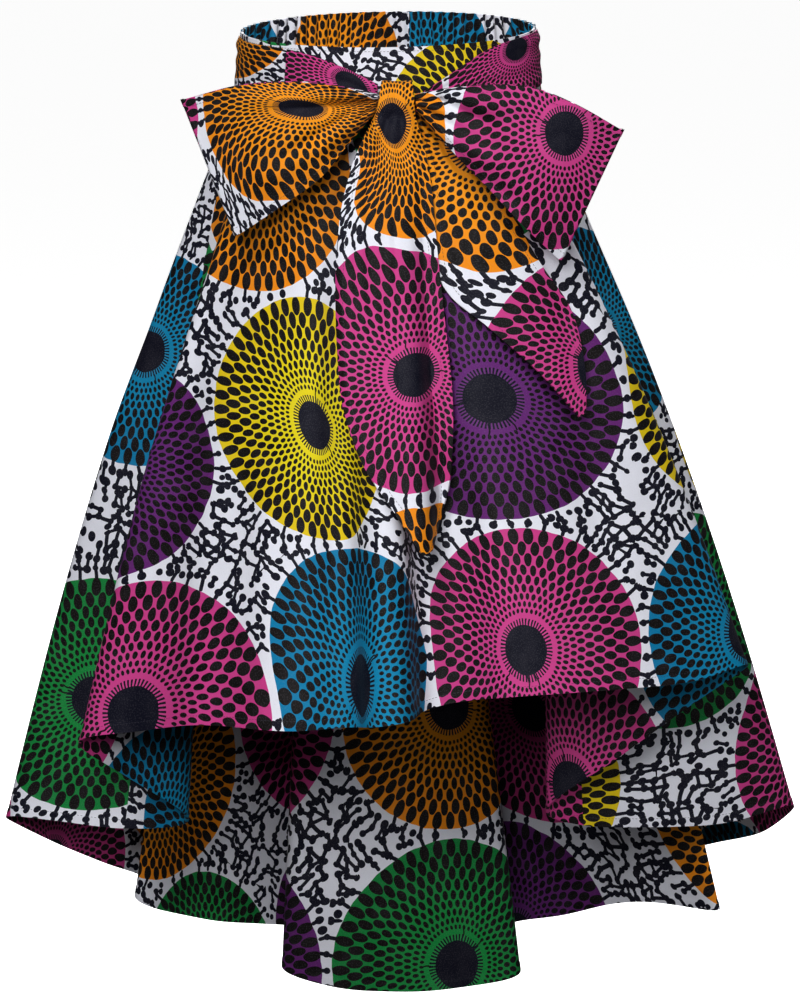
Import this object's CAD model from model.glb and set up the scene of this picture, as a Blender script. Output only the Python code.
"""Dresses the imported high-low wrap-tie skirt in its printed cotton.

Every piece of cloth is built again, finer than its solid and on the same form, with its own creases,
hems, print and stitches. Sizes are in metres, and the front of the skirt faces -Y.
"""

import logging
import math
from dataclasses import dataclass, field
from enum import Enum
from typing import Sequence

import bmesh
import bpy
import numpy as np
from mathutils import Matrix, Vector


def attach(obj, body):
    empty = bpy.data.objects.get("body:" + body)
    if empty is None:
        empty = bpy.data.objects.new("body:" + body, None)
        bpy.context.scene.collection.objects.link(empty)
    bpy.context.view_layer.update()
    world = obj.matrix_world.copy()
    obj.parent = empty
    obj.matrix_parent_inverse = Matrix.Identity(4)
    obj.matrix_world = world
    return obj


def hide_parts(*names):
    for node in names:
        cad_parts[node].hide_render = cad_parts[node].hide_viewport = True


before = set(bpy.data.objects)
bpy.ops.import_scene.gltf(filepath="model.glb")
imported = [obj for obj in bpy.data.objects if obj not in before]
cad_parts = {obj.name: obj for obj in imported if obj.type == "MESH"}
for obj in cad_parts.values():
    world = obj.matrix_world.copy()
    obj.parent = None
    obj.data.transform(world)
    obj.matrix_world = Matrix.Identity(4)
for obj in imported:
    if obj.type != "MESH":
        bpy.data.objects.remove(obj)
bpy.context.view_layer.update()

LOG = logging.getLogger("skirt")
MILLIMETRE = 0.001
TINY = 1e-12
SHARP_ANGLE = math.radians(60.0)


# Runs and tables


def smooth_run(points: np.ndarray, closed: bool = False, steps: int = 24) -> tuple[np.ndarray, np.ndarray]:
    """A centripetal Catmull-Rom run through points.

    Args:
        points: the points, one a row.
        closed: whether the run comes back to its first point.
        steps: dense points for each span.

    Returns:
        The dense points, and the index in them of each given point.
    """
    points = np.asarray(points, float)
    if closed:
        padded = np.vstack([points[-1], points, points[:2]])
    else:
        padded = np.vstack([2 * points[0] - points[1], points, 2 * points[-1] - points[-2]])
    spans = len(padded) - 3
    dense = []
    for span in range(spans):
        a, b, c, d = padded[span : span + 4]
        knots = np.cumsum([0.0] + [np.linalg.norm(q - p) ** 0.5 for p, q in ((a, b), (b, c), (c, d))])
        k0, k1, k2, k3 = knots
        at = np.linspace(k1, k2, steps, endpoint=False)[:, None]
        ab = a + (b - a) * (at - k0) / (k1 - k0)
        bc = b + (c - b) * (at - k1) / (k2 - k1)
        cd = c + (d - c) * (at - k2) / (k3 - k2)
        abc = ab + (bc - ab) * (at - k0) / (k2 - k0)
        bcd = bc + (cd - bc) * (at - k1) / (k3 - k1)
        dense.append(abc + (bcd - abc) * (at - k1) / (k2 - k1))
    dense.append(padded[-2][None])
    return np.vstack(dense), np.arange(spans + 1) * steps


def lengths_along(points: np.ndarray) -> np.ndarray:
    """The length of a run up to each of its points."""
    steps = np.linalg.norm(np.diff(points, axis=0), axis=1)
    return np.concatenate([[0.0], np.cumsum(steps)])


def at_shares(points: np.ndarray, shares: np.ndarray) -> np.ndarray:
    """Points of a run at the given shares of its length."""
    along = lengths_along(points)
    wanted = np.asarray(shares) * along[-1]
    return np.stack([np.interp(wanted, along, points[:, axis]) for axis in range(points.shape[1])], axis=-1)


def stations_at(stations: Sequence, fields: Sequence[str], shares: np.ndarray) -> list[np.ndarray]:
    """Smooth values of a table of stations.

    Args:
        stations: the table's rows.
        fields: the columns to read.
        shares: how far from the first row to the last, 0 to 1.

    Returns:
        One array of values for each column.
    """
    values = np.array([[getattr(station, name) for name in fields] for station in stations], float)
    dense, marks = smooth_run(values)
    position = np.interp(np.linspace(0, 1, len(dense)), np.linspace(0, 1, len(marks)), marks)
    places = np.interp(shares, np.linspace(0, 1, len(dense)), position)
    return [np.interp(places, np.arange(len(dense)), dense[:, column]) for column in range(len(fields))]


def soft_step(low: float, high: float, value: np.ndarray) -> np.ndarray:
    """0 below low, 1 above high, and an eased rise between them."""
    share = np.clip((np.asarray(value) - low) / (high - low), 0.0, 1.0)
    return share * share * (3.0 - 2.0 * share)


@dataclass(frozen=True)
class HemFold:
    """One point of the hem, in millimetres."""

    name: str
    x: float
    y: float
    z: float


@dataclass(frozen=True)
class WrapStation:
    """One place along a tie's stretch round the band, in metres."""

    share: float
    top: float
    low: float
    lift: float


@dataclass(frozen=True)
class LoopStation:
    """One section of a bow loop, from the knot out, in millimetres."""

    name: str
    top_x: float
    top_z: float
    low_x: float
    low_z: float
    depth: float
    gap: float


@dataclass(frozen=True)
class TailStation:
    """One section of a bow tail, from the knot down, in millimetres."""

    name: str
    left_x: float
    left_z: float
    right_x: float
    right_z: float
    lift: float


@dataclass(frozen=True)
class OverStation:
    """One place of the cloth that runs over the knot, in millimetres."""

    name: str
    y: float
    z: float
    left_x: float
    right_x: float


@dataclass(frozen=True)
class LoopFold:
    """A ridge or, below zero, a trough on a loop's front: its two ends, depth and spread, in millimetres."""

    start_x: float
    start_z: float
    end_x: float
    end_z: float
    depth: float
    width: float


@dataclass(frozen=True)
class Crease:
    """A soft trough or ridge down a skirt panel.

    Shares run across the panel at its hem, start and end are shares of the way down, depth is outwards
    where it is positive and width is the spread, both in metres.
    """

    top_share: float
    low_share: float
    start: float
    end: float
    depth: float
    width: float


# Colours and shader maths


def dye(red: int, green: int, blue: int) -> tuple[float, float, float, float]:
    """A screen colour, 0 to 255, as the linear colour that a shader takes."""
    shares = [value / 255.0 for value in (red, green, blue)]
    linear = [v / 12.92 if v <= 0.04045 else ((v + 0.055) / 1.055) ** 2.4 for v in shares]
    return (linear[0], linear[1], linear[2], 1.0)


class Dye(Enum):
    """The dyes of the printed discs."""

    ORANGE = dye(234, 153, 18)
    YELLOW = dye(222, 206, 18)
    PINK = dye(200, 70, 142)
    PURPLE = dye(104, 42, 118)
    BLUE = dye(0, 134, 174)
    GREEN = dye(20, 142, 68)


def chart(*rows: str) -> tuple[tuple[Dye, ...], ...]:
    """A chart of dyes from lines of words, one line for each row of discs."""
    return tuple(tuple(Dye[word.upper()] for word in row.split()) for row in rows)


class NodeMaker:
    """Adds nodes to one tree."""

    def __init__(self, tree: bpy.types.NodeTree) -> None:
        """Starts on a tree, whose nodes are cleared."""
        self.tree = tree
        tree.nodes.clear()

    def node(self, kind: str, settings: dict | None = None, inputs: dict | None = None) -> bpy.types.Node:
        """Adds a node.

        Args:
            kind: the node's type.
            settings: its properties, set first; "stops" are a colour ramp's positions and colours.
            inputs: a value or a link for each socket, by name or number.

        Returns:
            The node.
        """
        made = self.tree.nodes.new(kind)
        for name, value in (settings or {}).items():
            if name == "stops":
                self._stops(made, value)
            else:
                setattr(made, name, value)
        for key, value in (inputs or {}).items():
            socket = made.inputs[key]
            if isinstance(value, Term):
                self.tree.links.new(value.socket, socket)
            elif isinstance(value, bpy.types.NodeSocket):
                self.tree.links.new(value, socket)
            else:
                socket.default_value = value
        return made

    @staticmethod
    def _stops(ramp: bpy.types.Node, stops: Sequence[tuple]) -> None:
        """Sets a colour ramp's stops."""
        elements = ramp.color_ramp.elements
        while len(elements) > 1:
            elements.remove(elements[-1])
        elements[0].position, elements[0].color = stops[0]
        for position, color in stops[1:]:
            elements.new(position).color = color

    def term(
        self, kind: str, settings: dict | None = None, inputs: dict | None = None, out: str | int = 0
    ) -> "Term":
        """Adds a node and gives one of its outputs as a term."""
        return Term(self, self.node(kind, settings, inputs).outputs[out])

    def math(self, operation: str, *values) -> "Term":
        """Adds a Math node on values or terms."""
        return self.term("ShaderNodeMath", {"operation": operation}, dict(enumerate(values)))

    def vector(self, operation: str, *values, out: str | int = 0) -> "Term":
        """Adds a Vector Math node on vectors or terms."""
        return self.term("ShaderNodeVectorMath", {"operation": operation}, dict(enumerate(values)), out)

    def mix(self, factor, first, second) -> "Term":
        """Mixes two colours."""
        inputs = {0: factor, 6: first, 7: second}
        return self.term("ShaderNodeMix", {"data_type": "RGBA"}, inputs, 2)

    def parts(self, vector) -> tuple["Term", "Term"]:
        """The first two numbers of a vector."""
        made = self.node("ShaderNodeSeparateXYZ", {}, {0: vector})
        return Term(self, made.outputs[0]), Term(self, made.outputs[1])

    def joined(self, x, y, z=0.0) -> "Term":
        """A vector from three numbers."""
        return self.term("ShaderNodeCombineXYZ", {}, {0: x, 1: y, 2: z})

    def ramped(self, value, low: float, high: float) -> "Term":
        """0 at low and 1 at high, eased between them."""
        inputs = {"Value": value, "From Min": low, "From Max": high}
        return self.term("ShaderNodeMapRange", {"interpolation_type": "SMOOTHSTEP"}, inputs)

    def noise(self, place, scale: float, detail: float, out: str | int = 0) -> "Term":
        """A smooth noise over flat places: its value, or its colour where out is 1."""
        inputs = {"Vector": place, "Scale": scale, "Detail": detail}
        return self.term("ShaderNodeTexNoise", {"noise_dimensions": "2D"}, inputs, out)

    def luck(self, key) -> list["Term"]:
        """Three chances, 0 to 1, which are the same wherever the key is the same."""
        made = self.node("ShaderNodeTexWhiteNoise", {"noise_dimensions": "2D"}, {"Vector": key})
        split = self.node("ShaderNodeSeparateXYZ", {}, {0: made.outputs["Color"]})
        return [Term(self, socket) for socket in split.outputs]

    def scaled(self, vector, amount) -> "Term":
        """A vector made longer or shorter."""
        return self.term("ShaderNodeVectorMath", {"operation": "SCALE"}, {0: vector, "Scale": amount})


def new_material(name: str) -> tuple[bpy.types.Material, NodeMaker]:
    """A material without nodes, and the maker of its nodes."""
    material = bpy.data.materials.new(name)
    material.use_nodes = True
    return material, NodeMaker(material.node_tree)


class Term:
    """A shader value that takes part in Python expressions."""

    def __init__(self, maker: NodeMaker, socket: bpy.types.NodeSocket) -> None:
        """Wraps an output socket."""
        self.maker = maker
        self.socket = socket

    def __add__(self, other) -> "Term":
        """self + other"""
        return self.maker.math("ADD", self, other)

    def __radd__(self, other) -> "Term":
        """other + self"""
        return self.maker.math("ADD", other, self)

    def __sub__(self, other) -> "Term":
        """self - other"""
        return self.maker.math("SUBTRACT", self, other)

    def __rsub__(self, other) -> "Term":
        """other - self"""
        return self.maker.math("SUBTRACT", other, self)

    def __mul__(self, other) -> "Term":
        """self * other"""
        return self.maker.math("MULTIPLY", self, other)

    def __rmul__(self, other) -> "Term":
        """other * self"""
        return self.maker.math("MULTIPLY", other, self)

    def __truediv__(self, other) -> "Term":
        """self / other"""
        return self.maker.math("DIVIDE", self, other)

    def __rtruediv__(self, other) -> "Term":
        """other / self"""
        return self.maker.math("DIVIDE", other, self)

    def __lt__(self, other) -> "Term":
        """1 where self is below other"""
        return self.maker.math("LESS_THAN", self, other)

    def __gt__(self, other) -> "Term":
        """1 where self is above other"""
        return self.maker.math("GREATER_THAN", self, other)

    def __or__(self, other) -> "Term":
        """The larger of two masks"""
        return self.maker.math("MAXIMUM", self, other)

    def __abs__(self) -> "Term":
        """Without its sign"""
        return self.maker.math("ABSOLUTE", self)

    def off_round(self) -> "Term":
        """How far it is from the nearest whole number"""
        return self - self.maker.math("ROUND", self)


# The print


@dataclass(frozen=True)
class WaxPrint:
    """The print: rows of dotted discs on a ground of beaded branching lines.

    Sizes are in metres. A reach is a distance from a disc's middle in disc radii, a turn is a share of
    the way round it, and odds are shares of the chances.
    """

    spacing: float = 0.239
    disc_radius: float = 0.115
    block_scale: float = 60.0
    block_shift: float = 0.0022
    rings: int = 9
    dots_in_ring: int = 48
    outer_ring: float = 0.93
    ring_pace: float = 8.51
    ring_pace_loss: float = 1.18
    dot_half_width: float = 0.345
    dot_width_loss: float = 0.004
    dot_half_height: float = 0.66
    dot_height_loss: float = 0.036
    centre: float = 0.195
    teeth_end: float = 0.245
    teeth: int = 52
    tooth_half_width: float = 0.25
    sprout_end: float = 0.30
    sprout_half_width: float = 0.0007
    sprout_ripples: float = 55.0
    sprout_swing: float = 0.003
    sprout_key: tuple[float, float] = (0.3, 0.7)
    ground_scale: float = 22.0
    ground_bend: float = 0.011
    bend_end: float = 1.2
    line_width: float = 0.0036
    ring_steps: float = 13.0
    bead_radius: float = 0.0037
    bead_least: float = 0.78
    bead_growth: float = 0.40
    bead_stray: float = 0.76
    bead_margin: float = 0.0030
    bead_odds: float = 0.97
    between_odds_loss: float = 0.05
    border_odds: float = 0.80
    out_odds: float = 0.92
    round_odds: float = 0.08
    round_odds_gain: float = 0.44
    round_odds_rise: tuple[float, float] = (1.06, 1.30)
    column_key: float = 131.0
    row_key: float = 57.0
    chance_turns: tuple[float, ...] = (7.0, 13.0, 29.0, 43.0)

    def group(self) -> bpy.types.NodeTree:
        """Builds the node group that says what is printed at a place on the cloth.

        Returns:
            The group: its input is a place on the print in metres; its outputs are the disc's column and
            row, its mask, the ink's mask, the mask between the teeth, and the distance from its middle.
        """
        tree = bpy.data.node_groups.new("wax_print", "ShaderNodeTree")
        face = tree.interface
        face.new_socket("Place", in_out="INPUT", socket_type="NodeSocketVector")
        for name in ("Column", "Row", "Disc", "Ink", "Pale", "Reach"):
            face.new_socket(name, in_out="OUTPUT", socket_type="NodeSocketFloat")
        make = NodeMaker(tree)
        place = Term(make, make.node("NodeGroupInput").outputs[0])
        drawn = self._shifted(make, place, self.block_scale, self.block_shift)
        column, row, _, _, reach, turn = self._nearest(make, drawn)
        disc = reach < 1.0
        dots = self._dots(make, reach, turn)
        teeth = abs((turn * self.teeth).off_round()) < self.tooth_half_width
        between = (reach > self.centre) * (reach < self.teeth_end)
        middle = (reach < self.centre) | (between * teeth) | self._sprouts(make, reach, turn, column, row)
        pale = between * (1.0 - teeth)
        bend = make.ramped(reach, 1.0, self.bend_end)
        bent = self._shifted(make, place, self.ground_scale, bend * self.ground_bend)
        nearest = self._nearest(make, bent)
        ink = disc * (dots | middle) | (1.0 - disc) * self._ground(make, *nearest)
        outputs = {"Column": column, "Row": row, "Disc": disc, "Ink": ink, "Pale": pale, "Reach": reach}
        make.node("NodeGroupOutput", {}, outputs)
        return tree

    @staticmethod
    def _shifted(make: NodeMaker, place: Term, scale: float, amount: float | Term) -> Term:
        """A place moved about by a smooth noise, as a hand-cut block prints it."""
        away = make.vector("SUBTRACT", make.noise(place, scale, 1.0, out=1), (0.5, 0.5, 0.5))
        return make.vector("ADD", place, make.scaled(away, amount))

    def _nearest(self, make: NodeMaker, place: Term) -> tuple[Term, ...]:
        """The nearest disc: its column and row, the place from its middle, the reach and the turn."""
        across, down = make.parts(place)
        column = make.math("ROUND", across / self.spacing)
        row = make.math("ROUND", down / self.spacing)
        dx = across - column * self.spacing
        dy = down - row * self.spacing
        reach = make.math("SQRT", dx * dx + dy * dy) / self.disc_radius
        return column, row, dx, dy, reach, make.math("ARCTAN2", dy, dx) / (2 * math.pi)

    def _sprouts(self, make: NodeMaker, reach: Term, turn: Term, column: Term, row: Term) -> Term:
        """The mask of the three thin lines that run out of a disc's teeth."""
        wavy = turn + make.math("SINE", reach * self.sprout_ripples) * self.sprout_swing
        near = 1.0
        for sprout in make.luck(make.joined(column + self.sprout_key[0], row + self.sprout_key[1])):
            near = make.math("MINIMUM", abs((wavy - sprout).off_round()), near)
        aside = near * reach * (2 * math.pi * self.disc_radius)
        return (aside < self.sprout_half_width) * (reach > self.centre) * (reach < self.sprout_end)

    def _dots(self, make: NodeMaker, reach: Term, turn: Term) -> Term:
        """The mask of the dots in their staggered rings, number 0 at the rim."""
        inward = make.math("LOGARITHM", reach, math.e) * -1.0 + math.log(self.outer_ring)
        ring_at = inward * self.ring_pace - inward * inward * self.ring_pace_loss
        mask = 0.0
        for odd in (0, 1):
            ring = make.math("ROUND", (ring_at - odd) * 0.5) * 2.0 + odd
            half_width = self.dot_half_width - ring * self.dot_width_loss
            half_height = self.dot_half_height - ring * self.dot_height_loss
            beside = (turn * self.dots_in_ring + odd * 0.5).off_round() / half_width
            along = (ring_at - ring) / half_height
            dot = (beside * beside + along * along) < 1.0
            mask = make.math("MAXIMUM", dot * (ring > -0.5) * (ring < self.rings - 0.5), mask)
        return mask

    def _on_border(self, make: NodeMaker, spoke_at: Term) -> tuple[Term, Term, Term]:
        """Where a spoke meets the square halfway to the next discs, and how far out that is."""
        angle = spoke_at * (math.pi / self.dots_in_ring)
        aim_x, aim_y = make.math("COSINE", angle), make.math("SINE", angle)
        away = self.spacing / 2 / make.math("MAXIMUM", abs(aim_x), abs(aim_y))
        return aim_x * away, aim_y * away, away

    def _ground(
        self, make: NodeMaker, column: Term, row: Term, dx: Term, dy: Term, reach: Term, turn: Term
    ) -> Term:
        """The mask of the beaded lines between the discs.

        Beads stray from the crossings of a net of spokes and rings round the nearest disc. A chain of them
        leaves each of the disc's outermost dots, and more chains start between those further out. Each bead
        is mostly joined to the next one out and by chance to the next one round. The beads on the border
        halfway to the next disc are shared with it.
        """
        spokes = 2 * self.dots_in_ring
        spoke = make.math("ROUND", turn * spokes)
        ring = make.math("ROUND", make.math("LOGARITHM", reach, math.e) * self.ring_steps)
        place = make.joined(dx, dy)

        def bead(out: int, aside: int) -> tuple[Term, Term, Term, list[Term]]:
            """One bead of the net: its place, whether lines reach it and it is a dot, and its chances."""
            x, y = spoke + aside, ring + out
            spoke_key = make.math("FLOORED_MODULO", x, spokes) + column * self.column_key
            luck = make.luck(make.joined(spoke_key, y + row * self.row_key))
            chances = [make.math("FRACT", luck[2] * turns) for turns in self.chance_turns]
            edge_x, edge_y, edge = self._on_border(make, x)
            inner = y < make.math("LOGARITHM", edge / self.disc_radius, math.e) * self.ring_steps
            on_cloth = (column * self.spacing + edge_x, row * self.spacing + edge_y)
            halfway = make.joined(*(make.math("ROUND", spot / self.bead_margin) for spot in on_cloth))
            shared = make.term("ShaderNodeTexWhiteNoise", {"noise_dimensions": "2D"}, {"Vector": halfway})
            stray = [(luck[axis] - 0.5) * self.bead_stray for axis in (0, 1)]
            aim_x, aim_y, limit = self._on_border(make, x + stray[0])
            away = make.math("EXPONENT", (y + stray[1]) / self.ring_steps) * self.disc_radius
            away = make.math("MINIMUM", away, limit - self.bead_margin) / limit
            spot_x = edge_x + inner * (aim_x * away - edge_x)
            spot_y = edge_y + inner * (aim_y * away - edge_y)
            between = abs((x * 0.5).off_round()) > 0.25
            inner_odds = self.bead_odds - between * self.between_odds_loss
            printed = inner * (chances[3] < inner_odds) * (y > between - 0.5)
            printed = printed | (1.0 - inner) * (1.0 - between) * (shared < self.border_odds)
            size_chance = chances[2] * inner + shared * (1.0 - inner)
            return make.joined(spot_x, spot_y), printed, printed * (y > 0.5), [*chances[:2], size_chance]

        def line(start: Term, end: Term) -> Term:
            """How far the place is from the line between two beads."""
            link = make.vector("SUBTRACT", end, start)
            away = make.vector("SUBTRACT", place, start)
            along = make.vector("DOT_PRODUCT", away, link, out="Value")
            share = along / make.vector("DOT_PRODUCT", link, link, out="Value")
            share = make.math("MINIMUM", make.math("MAXIMUM", share, 0.0), 1.0)
            return make.vector("DISTANCE", away, make.scaled(link, share), out="Value")

        def dot(spot: Term, chance: Term) -> Term:
            """The mask of one bead."""
            size = self.bead_radius * self.bead_least + chance * (self.bead_radius * self.bead_growth)
            return make.vector("DISTANCE", place, spot, out="Value") < size

        here, printed, dotted, chances = bead(0, 0)
        mask = dot(here, chances[2]) * dotted
        round_odds = make.ramped(reach, *self.round_odds_rise) * self.round_odds_gain + self.round_odds
        for number, step, odds in ((0, (1, 0), self.out_odds), (1, (0, 1), round_odds)):
            for sign in (1, -1):
                end, there, end_dotted, end_chances = bead(sign * step[0], sign * step[1])
                chance = (chances if sign == 1 else end_chances)[number]
                drawn = line(here, end) < self.line_width / 2
                mask = mask | drawn * (chance < odds) * printed * there
                mask = mask | dot(end, end_chances[2]) * end_dotted
        return mask


@dataclass(frozen=True)
class PrintedCotton:
    """Cotton with the wax print, a fine plain weave and a crisp, slightly waxed face."""

    name: str
    dyes: tuple[tuple[Dye, ...], ...]
    first_column: int
    first_row: int
    ground: tuple = dye(224, 225, 234)
    rim_tint: tuple = (0.96, 0.84, 0.92)
    rim_start: float = 0.35
    rim_strength: float = 0.8
    pale_strength: float = 0.02
    ground_ink: tuple = dye(12, 14, 32)
    dot_ink: tuple = dye(16, 12, 12)
    dot_ink_start: float = 0.24
    worn_tint: tuple = dye(160, 155, 165)
    cloud_scale: float = 45.0
    cloud_rise: tuple[float, float] = (0.35, 0.75)
    cloud_wear: float = 0.025
    grain_scale: float = 850.0
    grain_rise: tuple[float, float] = (0.50, 0.72)
    grain_wear: float = 0.08
    roughness: float = 0.62
    cloud_roughness: float = 0.12
    ink_smoothness: float = 0.05
    gloss: float = 0.15
    sheen: float = 0.015
    sheen_roughness: float = 0.5
    thread: float = 0.00055
    weave_depth: float = 0.000012
    wrinkle_scale: float = 38.0
    wrinkle_roughness: float = 0.55
    wrinkle_depth: float = 0.00060

    def material(self, print_group: bpy.types.NodeTree) -> bpy.types.Material:
        """Builds the material.

        Args:
            print_group: the print's node group.

        Returns:
            The material.
        """
        material, make = new_material(self.name)
        place = make.term("ShaderNodeUVMap", {"uv_map": "print"})
        made = make.node("ShaderNodeGroup", {"node_tree": print_group}, {0: place})
        column, row, disc, ink, pale, reach = (Term(make, socket) for socket in made.outputs)
        color = self._disc_color(make, column, row)
        rim = make.ramped(reach, self.rim_start, 1.0) * self.rim_strength
        color = make.mix(rim, color, make.vector("MULTIPLY", color, self.rim_tint))
        color = make.mix(pale * self.pale_strength, color, self.ground)
        color = make.mix(disc, self.ground, color)
        ink_color = make.mix(disc * (reach > self.dot_ink_start), self.ground_ink, self.dot_ink)
        color = make.mix(ink, color, ink_color)
        cloud = make.noise(place, self.cloud_scale, 3.0)
        grain = make.noise(place, self.grain_scale, 2.0)
        wear = make.ramped(cloud, *self.cloud_rise) * self.cloud_wear
        wear = wear + make.ramped(grain, *self.grain_rise) * self.grain_wear
        shader = make.node("ShaderNodeBsdfPrincipled", {}, {
            "Base Color": make.mix(wear, color, self.worn_tint),
            "Roughness": self.roughness + (cloud - 0.5) * self.cloud_roughness - ink * self.ink_smoothness,
            "Specular IOR Level": self.gloss,
            "Sheen Weight": self.sheen,
            "Sheen Roughness": self.sheen_roughness,
            "Normal": self._relief(make, place),
        })
        make.node("ShaderNodeOutputMaterial", {}, {0: shader.outputs[0]})
        return material

    def _disc_color(self, make: NodeMaker, column: Term, row: Term) -> Term:
        """The dye of each disc, read from the chart by its column and row."""
        color = None
        for number, dyes in enumerate(self.dyes):
            count = len(dyes)
            stops = [(place / count, item.value) for place, item in enumerate(dyes)]
            at = (column - (self.first_column - 0.5)) / count
            line = make.term("ShaderNodeValToRGB", {"stops": stops}, {0: at})
            line.socket.node.color_ramp.interpolation = "CONSTANT"
            if color is None:
                color = line
            else:
                color = make.mix(row > self.first_row + number - 0.5, color, line)
        return color

    def _relief(self, make: NodeMaker, place: Term) -> bpy.types.NodeSocket:
        """The weave and the small wrinkles, as a normal."""
        across, down = make.parts(place)
        turns = 2 * math.pi / self.thread
        weave = make.math("SINE", across * turns) * make.math("SINE", down * turns)
        wrinkle = make.noise(place, self.wrinkle_scale, 4.0)
        wrinkle.socket.node.inputs["Roughness"].default_value = self.wrinkle_roughness
        height = weave * self.weave_depth + wrinkle * self.wrinkle_depth
        bump = make.node("ShaderNodeBump", {}, {"Strength": 1.0, "Distance": 1.0, "Height": height})
        return bump.outputs[0]


@dataclass(frozen=True)
class Pin:
    """Where one spot of the print falls on a cut piece.

    Across and down are millimetres on the flat cloth, and column and row count the print's discs.
    """

    name: str
    across: float
    down: float
    column: float
    row: float


@dataclass(frozen=True)
class PrintLay:
    """How the print lies on one cut piece: its turn and place, its middle disc's column, and its pins."""

    column: int = 0
    turn: float = 0.0
    across: float = 0.0
    down: float = 0.0
    stretch_across: float = 1.0
    stretch_down: float = 1.0
    pins: tuple[Pin, ...] = ()
    spacing: float = 0.239
    slack: float = 0.0002

    def plain(self, flat: np.ndarray) -> np.ndarray:
        """Places on the print for places on the flat cloth, before any pin."""
        angle = math.radians(self.turn)
        x = (flat[..., 0] - self.across) * self.stretch_across
        y = (flat[..., 1] - self.down) * self.stretch_down
        across = x * math.cos(angle) - y * math.sin(angle) + self.column * self.spacing
        down = x * math.sin(angle) + y * math.cos(angle)
        return np.stack([across, down], axis=-1)

    def at(self, flat: np.ndarray) -> np.ndarray:
        """Places on the print, pulled so that each pinned disc falls where it should.

        Args:
            flat: places on the flat cloth.

        Returns:
            Places on the print, in metres.
        """
        base = self.plain(flat)
        if not self.pins:
            return base
        pins = np.array([(pin.across, pin.down) for pin in self.pins]) * MILLIMETRE
        wanted = np.array([(pin.column, pin.row) for pin in self.pins], float) * self.spacing
        left_over = wanted - self.plain(pins)
        count = len(pins)
        apart = np.linalg.norm(pins[:, None] - pins[None], axis=-1)
        sides = np.hstack([np.ones((count, 1)), pins])
        system = np.zeros((count + 3, count + 3))
        system[:count, :count] = self._bend(apart) + np.eye(count) * self.slack
        system[:count, count:] = sides
        system[count:, :count] = sides.T
        solved = np.linalg.solve(system, np.vstack([left_over, np.zeros((3, 2))]))
        spots = flat.reshape(-1, 2)
        away = np.linalg.norm(spots[:, None] - pins[None], axis=-1)
        slant = np.hstack([np.ones((len(spots), 1)), spots]) @ solved[count:]
        pull = self._bend(away) @ solved[:count] + slant
        return base + pull.reshape(base.shape)

    @staticmethod
    def _bend(distance: np.ndarray) -> np.ndarray:
        """The pull of a thin bent plate at a distance from a pin."""
        safe = np.maximum(distance, TINY)
        return safe**2 * np.log(safe)


# Cloth


@dataclass
class ClothGrid:
    """One stretch of cloth: rows of points down it, columns across it, seen from its face."""

    points: np.ndarray
    print_at: np.ndarray
    wall: float
    hem_edges: tuple[str, ...] = ()
    hem_width: float = 0.009
    hem_lift: float = 0.0005
    hem_rise: tuple[float, float] = (-0.0012, 0.0004)

    def edge_distance(self) -> np.ndarray:
        """How far each point is from the nearest hemmed edge, along the cloth."""
        rows, columns = self.points.shape[:2]
        distance = np.full((rows, columns), np.inf)
        down = np.linalg.norm(np.diff(self.points, axis=0), axis=-1)
        across = np.linalg.norm(np.diff(self.points, axis=1), axis=-1)
        from_top = np.vstack([np.zeros((1, columns)), np.cumsum(down, axis=0)])
        from_left = np.hstack([np.zeros((rows, 1)), np.cumsum(across, axis=1)])
        reach = {
            "top": from_top,
            "low": from_top[-1:] - from_top,
            "left": from_left,
            "right": from_left[:, -1:] - from_left,
        }
        for edge in self.hem_edges:
            distance = np.minimum(distance, reach[edge])
        return distance

    def normals(self) -> np.ndarray:
        """The outward direction at each point."""
        down = np.gradient(self.points, axis=0)
        across = np.gradient(self.points, axis=1)
        normal = np.cross(down, across)
        size = np.linalg.norm(normal, axis=-1, keepdims=True)
        return normal / np.maximum(size, TINY)

    def shell(self) -> tuple[np.ndarray, list, np.ndarray]:
        """The closed wall round the grid.

        Returns:
            Its vertices, its faces and each vertex's place on the print.
        """
        rows, columns = self.points.shape[:2]
        half = np.full((rows, columns), self.wall / 2)
        if self.hem_edges:
            distance = self.edge_distance()
            inner, outer = (self.hem_width + step for step in self.hem_rise)
            half += self.hem_lift * (1.0 - soft_step(inner, outer, distance))
        offset = self.normals() * half[..., None]
        sides = (self.points + offset, self.points - offset)
        points = np.concatenate([side.reshape(-1, 3) for side in sides])
        index = np.arange(rows * columns).reshape(rows, columns)
        a, b = index[:-1, :-1].ravel(), index[1:, :-1].ravel()
        c, d = index[1:, 1:].ravel(), index[:-1, 1:].ravel()
        count = rows * columns
        outer = np.stack([a, b, c, d], axis=-1)
        inner = outer[:, ::-1] + count
        edge = np.concatenate([index[0, ::-1], index[1:, 0], index[-1, 1:], index[-2:0:-1, -1]])
        following = np.roll(edge, -1)
        rim = np.stack([following, edge, edge + count, following + count], axis=-1)
        faces = np.concatenate([outer, inner, rim])
        places = self.print_at.reshape(-1, 2)
        return points, faces.tolist(), np.concatenate([places, places])


def link_piece(mesh: bpy.types.Mesh, places: np.ndarray, material: bpy.types.Material) -> bpy.types.Object:
    """Makes a smooth object of a mesh, with each vertex's place on the print as its UV.

    Args:
        mesh: the mesh, which gives the object its name.
        places: each vertex's place on the print.
        material: its finish.

    Returns:
        The object.
    """
    layer = mesh.uv_layers.new(name="print")
    corners = np.empty(len(mesh.loops), dtype=np.int32)
    mesh.loops.foreach_get("vertex_index", corners)
    layer.data.foreach_set("uv", places[corners].astype(np.float32).ravel())
    mesh.shade_smooth()
    mesh.materials.append(material)
    piece = bpy.data.objects.new(mesh.name, mesh)
    bpy.context.scene.collection.objects.link(piece)
    return piece


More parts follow.
